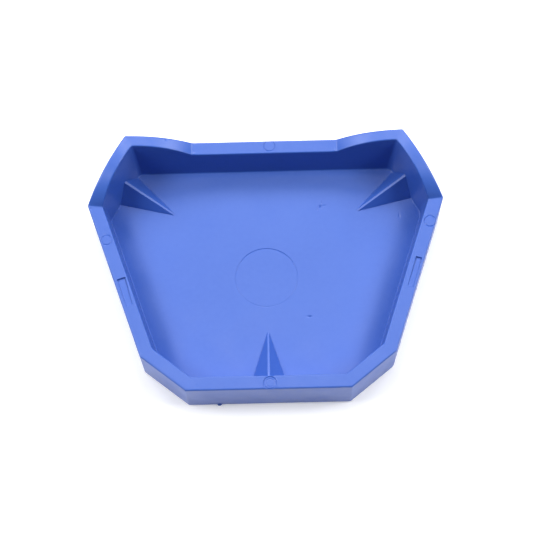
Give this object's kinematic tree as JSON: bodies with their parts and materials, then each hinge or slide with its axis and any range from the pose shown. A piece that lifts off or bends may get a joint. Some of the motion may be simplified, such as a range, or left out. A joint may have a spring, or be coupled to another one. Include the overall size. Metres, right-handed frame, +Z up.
{
  "type": "plaster model base former tray",
  "caption": "Shallow open tray moulded in one piece, with a flat rim, raised back corners and wedge keys on the floor, for casting a plaster base under a dental model",
  "frame": {"origin": "on the table under the middle of the tray's bounding box", "axes": "+X to the right across the widest part, +Y to the back wall, +Z up out of the open top"},
  "size_m": [0.084, 0.0624, 0.0175],
  "materials": {
    "moulded_plastic": "satin"
  },
  "bodies": {
    "root": {"floor_panel": "moulded_plastic", "back_wall": "moulded_plastic", "left_back_shoulder": "moulded_plastic", "right_back_shoulder": "moulded_plastic", "left_heel_wall": "moulded_plastic", "right_heel_wall": "moulded_plastic", "left_side_wall": "moulded_plastic", "right_side_wall": "moulded_plastic", "left_corner_wall": "moulded_plastic", "right_corner_wall": "moulded_plastic", "front_wall": "moulded_plastic", "left_heel_key": "moulded_plastic", "right_heel_key": "moulded_plastic", "front_key": "moulded_plastic"}
  },
  "joints": []
}
